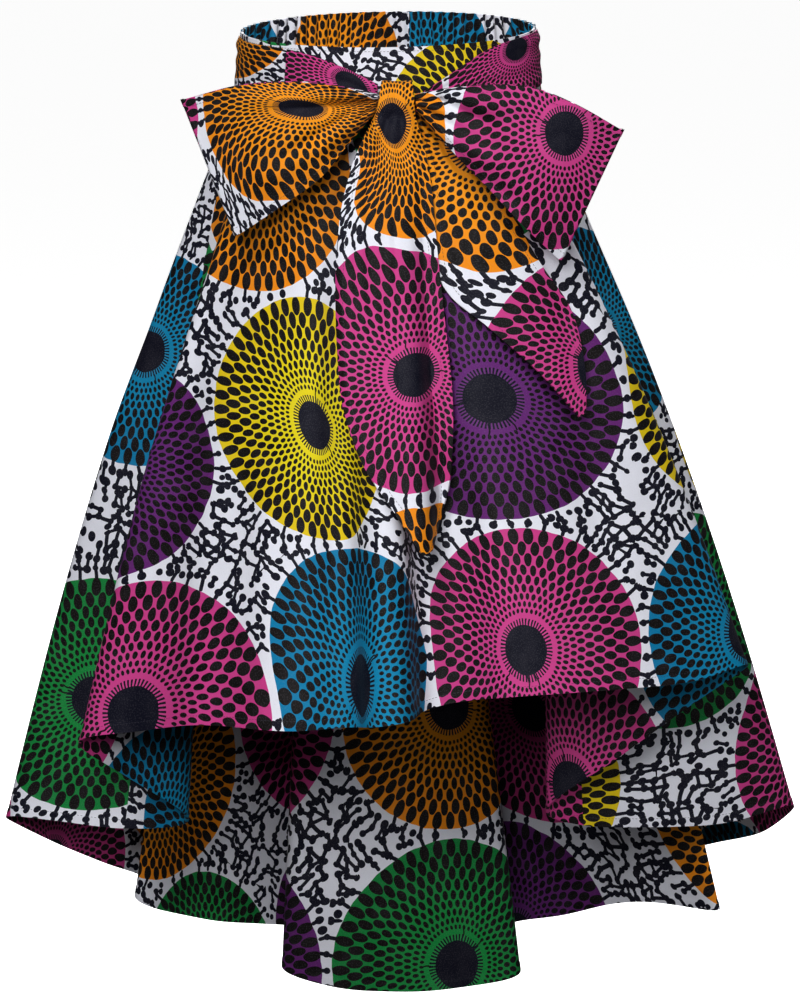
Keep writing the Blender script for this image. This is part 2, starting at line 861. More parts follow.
def make_cloth(name: str, grids: Sequence[ClothGrid], material: bpy.types.Material) -> bpy.types.Object:
    """Makes one object from one or more grids of cloth.

    Args:
        name: the piece's name.
        grids: the stretches of cloth that it is sewn from.
        material: its finish.

    Returns:
        The object.
    """
    points, faces, places = [], [], []
    for grid in grids:
        start = sum(len(group) for group in points)
        more_points, more_faces, more_places = grid.shell()
        points.append(more_points)
        places.append(more_places)
        faces.extend([[corner + start for corner in face] for face in more_faces])
    mesh = bpy.data.meshes.new(name)
    mesh.from_pydata(np.concatenate(points).tolist(), [], faces)
    piece = link_piece(mesh, np.concatenate(places), material)
    mesh.set_sharp_from_angle(angle=SHARP_ANGLE)
    return piece


def dress(piece: bpy.types.Object, nodes: Sequence[str]) -> None:
    """Puts a finished piece on the skirt's body, in place of its CAD nodes."""
    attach(piece, "root")
    if nodes:
        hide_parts(*nodes)
    LOG.info("%s: %d faces", piece.name, len(piece.data.polygons))


@dataclass
class Stitching:
    """Rows of short machine stitches that follow the hems, made with Geometry Nodes."""

    length: float = 0.0027
    pitch: float = 0.0034
    thread: float = 0.00042
    runs: list = field(default_factory=list)

    def along_edge(self, grid: ClothGrid, edge: str, inset: float) -> None:
        """Adds a run a little way in from one edge of a cloth grid, on its face.

        Args:
            grid: the cloth.
            edge: top, low, left or right.
            inset: how far in from the edge.
        """
        points, normals = grid.points, grid.normals()
        if edge in ("left", "right"):
            points, normals = points.transpose(1, 0, 2), normals.transpose(1, 0, 2)
        if edge in ("low", "right"):
            points, normals = points[::-1], normals[::-1]
        steps = np.linalg.norm(np.diff(points, axis=0), axis=-1)
        depth = np.vstack([np.zeros((1, points.shape[1])), np.cumsum(steps, axis=0)])
        run, facing = [], []
        for column in range(points.shape[1]):
            at = depth[:, column]
            run.append([np.interp(inset, at, points[:, column, axis]) for axis in range(3)])
            facing.append([np.interp(inset, at, normals[:, column, axis]) for axis in range(3)])
        run, facing = np.array(run), np.array(facing)
        self.runs.append((run + facing * (grid.wall / 2 + grid.hem_lift), facing))

    def tree(self, material: bpy.types.Material) -> bpy.types.GeometryNodeTree:
        """Builds the node tree that sets stitches along every run."""
        tree = bpy.data.node_groups.new("stitches", "GeometryNodeTree")
        face = tree.interface
        face.new_socket("Geometry", in_out="INPUT", socket_type="NodeSocketGeometry")
        for name in ("Stitch length", "Pitch", "Thread"):
            face.new_socket(name, in_out="INPUT", socket_type="NodeSocketFloat")
        face.new_socket("Geometry", in_out="OUTPUT", socket_type="NodeSocketGeometry")
        make = NodeMaker(tree)
        given = make.node("NodeGroupInput").outputs
        run = make.node("GeometryNodeMeshToCurve", {}, {0: given["Geometry"]})
        spread = {"Curve": run.outputs[0], "Length": given["Pitch"]}
        points = make.node("GeometryNodeCurveToPoints", {"mode": "LENGTH"}, spread)
        vector = {"data_type": "FLOAT_VECTOR"}
        facing = make.node("GeometryNodeInputNamedAttribute", vector, {"Name": "facing"})
        turn = make.node("FunctionNodeAxesToRotation", {"primary_axis": "Z", "secondary_axis": "X"}, {
            "Primary Axis": facing.outputs["Attribute"],
            "Secondary Axis": points.outputs["Tangent"],
        })
        bar = make.node("GeometryNodeMeshIcoSphere", {}, {"Radius": 0.5, "Subdivisions": 1})
        size = make.joined(given["Stitch length"], given["Thread"], given["Thread"])
        shaped = make.node("GeometryNodeTransform", {}, {"Geometry": bar.outputs[0], "Scale": size})
        placed = make.node("GeometryNodeInstanceOnPoints", {}, {
            "Points": points.outputs["Points"],
            "Instance": shaped.outputs[0],
            "Rotation": turn.outputs[0],
        })
        real = make.node("GeometryNodeRealizeInstances", {}, {0: placed.outputs[0]}).outputs[0]
        done = make.node("GeometryNodeSetMaterial", {}, {"Geometry": real, "Material": material})
        make.node("NodeGroupOutput", {}, {0: done.outputs[0]})
        return tree

    def piece(self, name: str, material: bpy.types.Material) -> bpy.types.Object:
        """Makes the stitches.

        Args:
            name: the piece's name.
            material: the thread's finish.

        Returns:
            A plain mesh object.
        """
        points, edges, facings = [], [], []
        for run, facing in self.runs:
            start = len(points)
            points.extend(run.tolist())
            facings.extend(facing.tolist())
            edges.extend((start + step, start + step + 1) for step in range(len(run) - 1))
        mesh = bpy.data.meshes.new(name + "_path")
        mesh.from_pydata(points, edges, [])
        stored = mesh.attributes.new("facing", "FLOAT_VECTOR", "POINT")
        stored.data.foreach_set("vector", np.array(facings, np.float32).ravel())
        path = bpy.data.objects.new(name + "_path", mesh)
        bpy.context.scene.collection.objects.link(path)
        tree = self.tree(material)
        modifier = path.modifiers.new("Stitches", "NODES")
        modifier.node_group = tree
        sizes = {"Stitch length": self.length, "Pitch": self.pitch, "Thread": self.thread}
        for socket in tree.interface.items_tree:
            if socket.name in sizes and socket.in_out == "INPUT":
                modifier[socket.identifier] = sizes[socket.name]
        evaluated = path.evaluated_get(bpy.context.evaluated_depsgraph_get())
        plain = bpy.data.meshes.new_from_object(evaluated)
        plain.name = name
        made = bpy.data.objects.new(name, plain)
        bpy.context.scene.collection.objects.link(made)
        path.modifiers.remove(modifier)
        bpy.data.objects.remove(path, do_unlink=True)
        return made


# The waist and its band


@dataclass
class Waist:
    """The waist opening and the band round it."""

    half_width: float = 0.136
    half_depth: float = 0.0965
    tilt: float = 0.13
    roll: float = 0.015
    height: float = 0.052
    flare: float = 0.005
    wall: float = 0.0022
    gathers: int = 34
    gather_depth: float = 0.0015
    slow_swell: float = 0.18
    slow_turn: float = 17.0
    slow_start: float = 1.0
    quick_swell: float = 0.12
    quick_turn: float = 41.0
    seam_gap: float = 0.0003
    ring_steps: int = 720
    rows: int = 26
    front_columns: int = 150
    back_columns: int = 560

    def angles(self, shares: np.ndarray) -> np.ndarray:
        """Angles round the waist at equal lengths: share 0 is the left side, 0.25 the front middle."""
        angles = np.linspace(0.0, 2 * math.pi, self.ring_steps + 1)
        ring = np.stack([-np.cos(angles) * self.half_width, -np.sin(angles) * self.half_depth], axis=-1)
        along = lengths_along(ring)
        return np.interp(np.asarray(shares) * along[-1], along, angles)

    def gather_wave(self, shares: np.ndarray) -> np.ndarray:
        """How far the elastic throws the cloth in and out behind the waist, in uneven gathers."""
        behind = np.clip((np.asarray(shares) - 0.5) / 0.5, 0.0, 1.0)
        ends = np.clip(np.minimum(behind, 1.0 - behind) * self.gathers, 0.0, 1.0)
        slow = self.slow_swell * np.sin(self.slow_turn * behind + self.slow_start)
        quick = self.quick_swell * np.sin(self.quick_turn * behind)
        wave = np.sin(2 * math.pi * self.gathers * behind)
        return self.gather_depth * ends * (1.0 + slow + quick) * wave

    def points(self, shares: np.ndarray, drop: np.ndarray, out: np.ndarray) -> np.ndarray:
        """Points at shares round the waist, a drop below the band's top edge, moved out."""
        angles = self.angles(shares)
        flare = self.flare * np.asarray(drop) / self.height
        half_width = self.half_width + flare
        half_depth = self.half_depth + flare
        outward = np.stack([-np.cos(angles) / half_width, -np.sin(angles) / half_depth], axis=-1)
        outward = outward / np.linalg.norm(outward, axis=-1, keepdims=True)
        x = -np.cos(angles) * half_width + outward[..., 0] * out
        y = -np.sin(angles) * half_depth + outward[..., 1] * out
        return np.stack([x, y, self.tilt * y + self.roll * x - drop], axis=-1)

    def half_round(self) -> float:
        """The length of the band's front half, along its top edge."""
        return lengths_along(self.points(np.linspace(0.0, 0.5, self.ring_steps // 4 + 1), 0.0, 0.0))[-1]

    def patch(self, first: float, last: float, columns: int, lay: PrintLay) -> ClothGrid:
        """One length of the band, from one share round the waist to another."""
        trim = self.seam_gap / 4 / self.half_round()
        shares = np.linspace(first + trim, last - trim, columns)
        drops = np.linspace(0.0, self.height, self.rows)
        grid = np.array([self.points(shares, drop, self.gather_wave(shares)) for drop in drops])
        across = np.broadcast_to((shares - first) * 2 * self.half_round(), grid.shape[:2])
        down = np.broadcast_to(drops[:, None], grid.shape[:2])
        return ClothGrid(grid, lay.at(np.stack([across, down], axis=-1)), self.wall)


@dataclass(frozen=True)
class BandPatch:
    """One length of cloth in the waistband: its ends as shares round the waist, and its print."""

    first: float
    last: float
    lay: PrintLay


@dataclass
class Waistband:
    """The plain front of the band and its gathered back."""

    waist: Waist
    front_patches: tuple[BandPatch, ...] = (
        BandPatch(0.0, 0.5, PrintLay(pins=(
            Pin("yellow", 284, 106, 0, 0),
            Pin("yellow, edge", 189, 36, -0.387, -0.285),
            Pin("between", 150, 20, -0.52, -0.5),
            Pin("green, edge", 65, 2, -0.95, -0.52),
        ))),
    )
    back_patches: tuple[BandPatch, ...] = (
        BandPatch(0.5, 0.7225, PrintLay(-1, across=0.150, down=0.076, stretch_across=1.6)),
        BandPatch(0.7225, 0.8675, PrintLay(0, across=0.079, down=0.074, stretch_across=1.6)),
        BandPatch(0.8675, 1.0, PrintLay(1, across=0.091, down=0.075, stretch_across=1.6)),
    )
    least_columns: int = 8
    top_inset: float = 0.004
    low_inset: float = 0.003

    def make(self, cloths: dict[str, bpy.types.Material], thread: Stitching) -> None:
        """Makes and dresses both halves of the band."""
        waist = self.waist
        runs = (
            ("waistband_front", "band_front", self.front_patches, waist.front_columns),
            ("waistband_back", "band_back", self.back_patches, waist.back_columns),
        )
        for name, cloth, patches, columns in runs:
            grids = []
            for patch in patches:
                count = max(self.least_columns, round(columns * (patch.last - patch.first) * 2))
                grids.append(waist.patch(patch.first, patch.last, count, patch.lay))
            piece = make_cloth("cloth_" + name, grids, cloths[cloth])
            dress(piece, [name])
            length = waist.half_round() * 2 * (patches[-1].last - patches[0].first)
            for grid in grids:
                thread.along_edge(grid, "top", self.top_inset)
                thread.along_edge(grid, "low", self.low_inset)


# The skirt


HEM_FOLDS = (
    HemFold("left seam", -255, 0, -768),
    HemFold("left valley", -190, -40, -750),
    HemFold("left turn", -243, -85, -697),
    HemFold("left flute", -288, -130, -651),
    HemFold("left flank", -230, -167, -632),
    HemFold("left front", -165, -222, -613),
    HemFold("middle crest", -85, -272, -607),
    HemFold("middle dip", -38, -264, -605),
    HemFold("middle flute", -8, -306, -595),
    HemFold("middle flute side", 17, -301, -592),
    HemFold("middle step", 34, -242, -594),
    HemFold("right of middle", 65, -236, -588),
    HemFold("front crest", 113, -257, -579),
    HemFold("right front", 195, -235, -578),
    HemFold("right flank", 275, -187, -581),
    HemFold("right flute", 334, -130, -577),
    HemFold("right turn", 285, -100, -621),
    HemFold("right return", 218, -80, -677),
    HemFold("right valley", 149, -50, -738),
    HemFold("right seam", 187, -18, -760),
    HemFold("right side", 250, -2, -766),
    HemFold("right side crest", 325, 5, -764),
    HemFold("right wing", 396, 45, -756),
    HemFold("behind the wing", 372, 120, -805),
    HemFold("right back", 330, 192, -835),
    HemFold("right back flute", 281, 240, -865),
    HemFold("right back turn", 297, 180, -880),
    HemFold("right back valley", 336, 115, -884),
    HemFold("right back wall", 257, 180, -893),
    HemFold("right inner back", 180, 243, -926),
    HemFold("back flute", 121, 268, -943),
    HemFold("back turn", 112, 200, -948),
    HemFold("middle back edge", 134, 142, -958),
    HemFold("right of middle back", 70, 128, -968),
    HemFold("middle back", 5, 120, -971),
    HemFold("left of middle back", -55, 126, -967),
    HemFold("left back edge", -109, 142, -953),
    HemFold("left back turn", -90, 200, -947),
    HemFold("left back flute", -88, 256, -943),
    HemFold("left inner back", -132, 240, -934),
    HemFold("left back wall", -190, 222, -925),
    HemFold("left back valley", -261, 165, -885),
    HemFold("left back crest", -247, 207, -878),
    HemFold("left back", -290, 172, -850),
    HemFold("left wing rear", -343, 105, -806),
    HemFold("left wing", -371, 32, -764),
    HemFold("left side", -318, 12, -764),
)
RIGHT_SEAM_ROW = 19


@dataclass
class SkirtPanel:
    """One panel of the skirt: where it is sewn to the band, its cut, its length, print and creases."""

    name: str
    first_share: float
    last_share: float
    columns: int
    rows: int
    cut_angle: float
    cut_radius: float
    fall: float
    lay: PrintLay
    flat: tuple[float, float]
    area: float
    creases: tuple[Crease, ...] = ()


@dataclass
class Skirt:
    """The short front panel and the long gathered back panel."""

    waist: Waist
    front: SkirtPanel
    back: SkirtPanel
    wall: float = 0.0016
    belly: float = 0.07
    hem_ease: float = 0.009
    hem_step: float = 0.002
    gather_fade: float = 0.16
    top_gap: float = 0.0007
    hem_band: float = 0.012
    hem_rows: int = 9
    hem_inset: float = 0.0085
    crease_rise: tuple[float, float] = (0.0, 0.25)
    crease_fall: tuple[float, float] = (0.7, 1.0)
    crease_top_width: float = 0.3

    def hem_runs(self) -> tuple[np.ndarray, np.ndarray]:
        """The hem's front run, left to right, and its back run, right to left."""
        points = np.array([(fold.x, fold.y, fold.z) for fold in HEM_FOLDS]) * MILLIMETRE
        dense, marks = smooth_run(points, closed=True)
        along = lengths_along(dense)
        right_share = along[marks[RIGHT_SEAM_ROW]] / along[-1]
        count = int(along[-1] / self.hem_step)
        even = at_shares(dense, np.arange(count) / count)
        reach = int(3 * self.hem_ease / self.hem_step)
        offsets = np.arange(-reach, reach + 1)
        weights = np.exp(-0.5 * (offsets * self.hem_step / self.hem_ease) ** 2)
        weights /= weights.sum()
        soft = sum(weight * np.roll(even, -offset, axis=0) for weight, offset in zip(weights, offsets))
        right = round(right_share * len(soft))
        return soft[: right + 1], np.vstack([soft[right:], soft[:1]])

    def grid(self, panel: SkirtPanel, hem: np.ndarray) -> ClothGrid:
        """The cloth of one panel.

        Args:
            panel: the panel.
            hem: the run of its hem.

        Returns:
            Its grid, with creases and print.
        """
        length = lengths_along(hem)[-1]
        edge = self.waist.seam_gap / 2 / length
        shares = np.linspace(edge, 1.0 - edge, panel.columns)
        low = at_shares(hem, shares)
        waist_shares = panel.first_share + (panel.last_share - panel.first_share) * shares
        last = 1.0 - self.hem_band / panel.fall
        hem_downs = np.linspace(last, 1.0, self.hem_rows + 1)[1:]
        downs = np.concatenate([np.linspace(0.0, last, panel.rows), hem_downs])
        rows = []
        for down in downs:
            fade = max(0.0, 1.0 - down / self.gather_fade) ** 2
            out = self.waist.gather_wave(waist_shares) * fade
            top = self.waist.points(waist_shares, self.waist.height + self.top_gap, out)
            spread = down + self.belly * math.sin(math.pi * down)
            point = top + (low - top) * spread
            point[:, 2] = top[:, 2] + (low[:, 2] - top[:, 2]) * down
            rows.append(point)
        points = np.array(rows)
        plain = ClothGrid(points, points[..., :2], self.wall)
        depth = self._creased(panel, shares, downs, length)
        creased = points + plain.normals() * depth[..., None]
        flat = self.flat_places(panel, points, shares)
        return ClothGrid(creased, panel.lay.at(flat), self.wall, hem_edges=("low",))

    @staticmethod
    def flat_places(panel: SkirtPanel, points: np.ndarray, shares: np.ndarray) -> np.ndarray:
        """Where each point of a panel lies on the flat cloth, as the sector that the panel was cut to."""
        steps = np.linalg.norm(np.diff(points, axis=0), axis=-1)
        down = np.vstack([np.zeros((1, points.shape[1])), np.cumsum(steps, axis=0)])
        angle = (shares - 0.5)[None] * panel.cut_angle
        radius = panel.cut_radius + down
        return np.stack([radius * np.sin(angle), radius * np.cos(angle) - panel.cut_radius], axis=-1)

    def _creased(
        self, panel: SkirtPanel, shares: np.ndarray, downs: np.ndarray, hem_length: float
    ) -> np.ndarray:
        """How far the creases throw each point of a panel outwards."""
        depth = np.zeros((len(downs), len(shares)))
        for crease in panel.creases:
            along = np.clip((downs - crease.start) / (crease.end - crease.start), 0.0, 1.0)
            middle = crease.top_share + (crease.low_share - crease.top_share) * along
            ended = soft_step(*self.crease_fall, along) * (crease.end < 1.0)
            inside = soft_step(*self.crease_rise, along) * (1.0 - ended)
            inside = inside * (downs >= crease.start) * (downs <= crease.end)
            wide = hem_length * (self.crease_top_width + (1.0 - self.crease_top_width) * downs[:, None])
            off = (shares[None] - middle[:, None]) * wide
            depth += crease.depth * inside[:, None] * np.exp(-0.5 * (off / crease.width) ** 2)
        return depth

    def make(self, cloths: dict[str, bpy.types.Material], thread: Stitching) -> ClothGrid:
        """Makes and dresses both panels.

        Args:
            cloths: the finishes.
            thread: where the hem's stitches are added.

        Returns:
            The front panel's grid, which the tails lie on.
        """
        grids = []
        for panel, hem in zip((self.front, self.back), self.hem_runs()):
            grid = self.grid(panel, hem)
            piece = make_cloth("cloth_" + panel.name, [grid], cloths[panel.name])
            dress(piece, [panel.name])
            thread.along_edge(grid, "low", self.hem_inset)
            grids.append(grid)
        return grids[0]


# The ties and their bow


LEFT_WRAP = (
    WrapStation(0.004, 0.004, 0.0505, 0.0),
    WrapStation(0.10, 0.004, 0.0510, 0.0004),
    WrapStation(0.27, 0.005, 0.0510, 0.0020),
    WrapStation(0.40, 0.017, 0.0520, 0.0070),
    WrapStation(0.4775, 0.029, 0.0560, 0.0166),
)
RIGHT_WRAP = (
    WrapStation(0.996, 0.002, 0.0505, 0.0),
    WrapStation(0.93, 0.001, 0.0510, 0.0004),
    WrapStation(0.76, 0.006, 0.0510, 0.0020),
    WrapStation(0.63, 0.028, 0.0520, 0.0070),
    WrapStation(0.5600, 0.041, 0.0560, 0.0166),
)
LEFT_LOOP = (
    LoopStation("knot", -8.1, -53, -11.0, -68, -126.5, 3.2),
    LoopStation("gathered", -40, -46, -32, -92, -139, 6.5),
    LoopStation("middle", -79, -41, -58, -124, -146, 9.0),
    LoopStation("wide", -132, -44, -96, -152, -146, 7.5),
    LoopStation("fold", -182, -57, -135, -179, -136, 3.2),
)
RIGHT_LOOP = (
    LoopStation("knot", 24.1, -53, 27.0, -68, -126.5, 3.2),
    LoopStation("gathered", 70, -45, 54, -98, -141, 6.5),
    LoopStation("middle", 125, -45, 89, -134, -152, 9.0),
    LoopStation("wide", 167, -60, 121, -168, -156, 7.5),
    LoopStation("fold", 208, -83, 154, -200, -146, 3.2),
)
OVER_KNOT = (
    OverStation("behind", -116, -47, -4, 20),
    OverStation("top", -121, -42.4, -5, 21),
    OverStation("brow", -130, -44.5, -6, 22),
    OverStation("front", -135.6, -53, -7, 23),
    OverStation("middle", -136.6, -62, -8.5, 23.5),
    OverStation("foot", -134.5, -70, -11, 24.5),
)
LEFT_TAIL = (
    TailStation("knot", -13, -75, 25, -75, 14.0),
    TailStation("gathered", -29, -108, 34, -106, 15.5),
    TailStation("orange", -40, -146, 40, -140, 15.0),
    TailStation("flat", -45, -190, 44, -186, 13.0),
    TailStation("wide", -46, -232, 49, -232, 11.0),
    TailStation("widest", -44, -280, 54, -276, 10.0),
    TailStation("tapered", -39, -325, 58, -318, 9.0),
    TailStation("narrow", -22, -372, 58, -360, 9.0),
    TailStation("tip", 4, -410, 54, -400, 9.0),
    TailStation("point", 31, -449, 39, -447, 9.0),
)
RIGHT_TAIL = (
    TailStation("knot", 13, -70, 30, -69, 7.6),
    TailStation("gathered", 32, -110, 62, -100, 8.5),
    TailStation("orange", 38, -150, 97, -140, 8.0),
    TailStation("wide", 50, -223, 139, -207, 7.0),
    TailStation("tapered", 92, -260, 166, -248, 6.5),
    TailStation("narrow", 137, -300, 178, -300, 6.0),
    TailStation("point", 172, -339, 178, -336, 6.0),
)


def pleat(across: np.ndarray, count: int, depth: float) -> np.ndarray:
    """Rounded pleats across a sheet, zero at both of its edges."""
    return depth * 0.5 * (1.0 - np.cos(2 * math.pi * count * across))


@dataclass
class TieWraps:
    """The two stretches of tie that lie round the front of the band."""

    waist: Waist
    wall: float = 0.0014
    pleats: int = 3
    pleat_depth: float = 0.0022
    left_at_knot: float = 0.35
    uneven: float = 0.4
    wave: float = 5.0
    slant: float = 4.0
    columns: int = 150
    least_columns: int = 12
    rows: int = 56
    seam_along: float = 0.46
    seam_half_gap: float = 0.001
    flat: tuple[float, float] = (0.165, 0.042)
    left_lays: tuple[PrintLay, ...] = (
        PrintLay(0, across=-0.022, down=-0.012, stretch_down=2.2),
        PrintLay(1, turn=-12.0, across=0.070, down=0.012, stretch_across=1.3, stretch_down=2.2),
    )
    right_lay: PrintLay = PrintLay(across=0.060, down=0.009, stretch_across=1.4, stretch_down=2.2)

    def points(self, stations: Sequence[WrapStation], along: np.ndarray) -> np.ndarray:
        """The grid of one wrap: rows over its width, columns at shares from side seam to knot."""
        share, top, low, lift = stations_at(stations, ("share", "top", "low", "lift"), along)
        clear = (self.waist.wall + self.wall) / 2 + self.waist.seam_gap
        grid = []
        for across in np.linspace(0.0, 1.0, self.rows + 1):
            slant = self.wave * along + self.slant * across
            uneven = 1.0 - self.uneven * (1.0 - np.cos(slant))
            drawn = 1.0 - (1.0 - self.left_at_knot) * along**2
            out = clear + pleat(across, self.pleats, self.pleat_depth) * uneven * drawn + lift
            grid.append(self.waist.points(share * 0.5, top + (low - top) * across, out))
        return np.array(grid)

    def cloth(
        self, stations: Sequence[WrapStation], first: float, last: float, lay: PrintLay, flip: bool
    ) -> ClothGrid:
        """One sewn length of a wrap.

        Args:
            stations: the wrap's table.
            first: where the length starts, as a share from the side seam.
            last: where it ends.
            lay: its print.
            flip: whether the columns run right to left as seen from the front.

        Returns:
            Its grid.
        """
        count = max(self.least_columns, round(self.columns * (last - first)))
        along = np.linspace(first, last, count)
        points = self.points(stations, along)
        far = lengths_along(points[self.rows // 2])
        wide = np.linalg.norm(np.diff(points, axis=0), axis=-1)
        down = np.vstack([np.zeros((1, points.shape[1])), np.cumsum(wide, axis=0)])
        flat = np.stack([np.broadcast_to(far, down.shape), down], axis=-1)
        places = lay.at(flat)
        if flip:
            points, places = points[:, ::-1], places[:, ::-1]
        return ClothGrid(points, places, self.wall)

    def make(self, cloths: dict[str, bpy.types.Material]) -> None:
        """Makes and dresses both wraps."""
        seam, gap = self.seam_along, self.seam_half_gap
        left = [
            self.cloth(LEFT_WRAP, 0.0, seam - gap, self.left_lays[0], False),
            self.cloth(LEFT_WRAP, seam + gap, 1.0, self.left_lays[1], False),
        ]
        right = [self.cloth(RIGHT_WRAP, 0.0, 1.0, self.right_lay, True)]
        for name, grids in (("tie_left", left), ("tie_right", right)):
            piece = make_cloth("cloth_" + name, grids, cloths[name])
            dress(piece, [name])


@dataclass
class BowLoop:
    """One loop of the bow: a stretch of tie folded back on itself."""

    name: str
    stations: tuple[LoopStation, ...]
    lay: PrintLay
    flat: tuple[float, float]
    folds: tuple[LoopFold, ...]
    wall: float = 0.0014
    pleats: int = 3
    pleat_depth: float = 0.0035
    pleat_fade: float = 1.5
    columns: int = 70
    rows: int = 100
    bight_steps: int = 14
    hem_width: float = 0.0075
    hem_lift: float = 0.0004
    hem_inset: float = 0.0068
    fold_start_width: float = 0.45
    fold_fade: float = 0.6
    bight_fade: float = 0.9

    def cloth(self) -> ClothGrid:
        """The loop's grid: rows from the knot along its front, round the fold and back."""
        fields = ("top_x", "top_z", "low_x", "low_z", "depth", "gap")
        along = np.linspace(0.0, 1.0, self.rows)
        across = np.linspace(0.0, 1.0, self.columns)
        values = [value * MILLIMETRE for value in stations_at(self.stations, fields, along)]
        outward = math.copysign(1.0, self.stations[-1].top_x - self.stations[0].top_x)

        def row(index: int, side: float, beyond: float) -> np.ndarray:
            """One row of the loop: side is 1 in front and -1 behind."""
            top_x, top_z, low_x, low_z, depth, gap = (value[index] for value in values)
            x = top_x + (low_x - top_x) * across + outward * gap * beyond
            z = top_z + (low_z - top_z) * across
            folds = pleat(across, self.pleats, self.pleat_depth) * (1.0 - along[index]) ** self.pleat_fade
            y = depth - gap * side - folds * max(side, 0.0)
            return np.stack([x, np.broadcast_to(y, x.shape), z], axis=-1)

        front = [self._folded(row(index, 1.0, 0.0), along[index]) for index in range(self.rows)]
        turns = [math.pi * (step + 1) / (self.bight_steps + 1) for step in range(self.bight_steps)]
        fold = [row(-1, math.cos(turn), math.sin(turn)) for turn in turns]
        back = [row(index, -1.0, 0.0) for index in reversed(range(self.rows))]
        grid = np.array(front + fold + back)
        far = lengths_along(grid[:, self.columns // 2])
        width = lengths_along(grid[self.rows - 1])
        flat = np.stack(np.meshgrid(far * outward, width, indexing="ij"), axis=-1)
        places = self.lay.at(flat)
        if outward > 0:
            grid, places = grid[:, ::-1], places[:, ::-1]
        return ClothGrid(grid, places, self.wall, ("left", "right"), self.hem_width, self.hem_lift)

    def _folded(self, row: np.ndarray, along: float) -> np.ndarray:
        """One row of the loop's front, moved by its folds."""
        spots = row[:, [0, 2]]
        kept = 1.0 - soft_step(self.bight_fade, 1.0, along)
        for fold in self.folds:
            start = np.array([fold.start_x, fold.start_z]) * MILLIMETRE
            line = np.array([fold.end_x, fold.end_z]) * MILLIMETRE - start
            share = np.clip((spots - start) @ line / (line @ line), 0.0, 1.0)
            off = np.linalg.norm(spots - start - share[:, None] * line, axis=-1)
            widening = self.fold_start_width + (1.0 - self.fold_start_width) * share
            spread = fold.width * MILLIMETRE * widening
            height = fold.depth * MILLIMETRE * (1.0 - soft_step(self.fold_fade, 1.0, share)) * kept
            row[:, 1] -= height * np.exp(-0.5 * (off / spread) ** 2)
        return row

    def make(self, cloths: dict[str, bpy.types.Material], thread: Stitching) -> None:
        """Makes and dresses the loop."""
        grid = self.cloth()
        piece = make_cloth("cloth_" + self.name, [grid], cloths[self.name])
        dress(piece, [self.name])
        for edge in ("left", "right"):
            thread.along_edge(grid, edge, self.hem_inset)


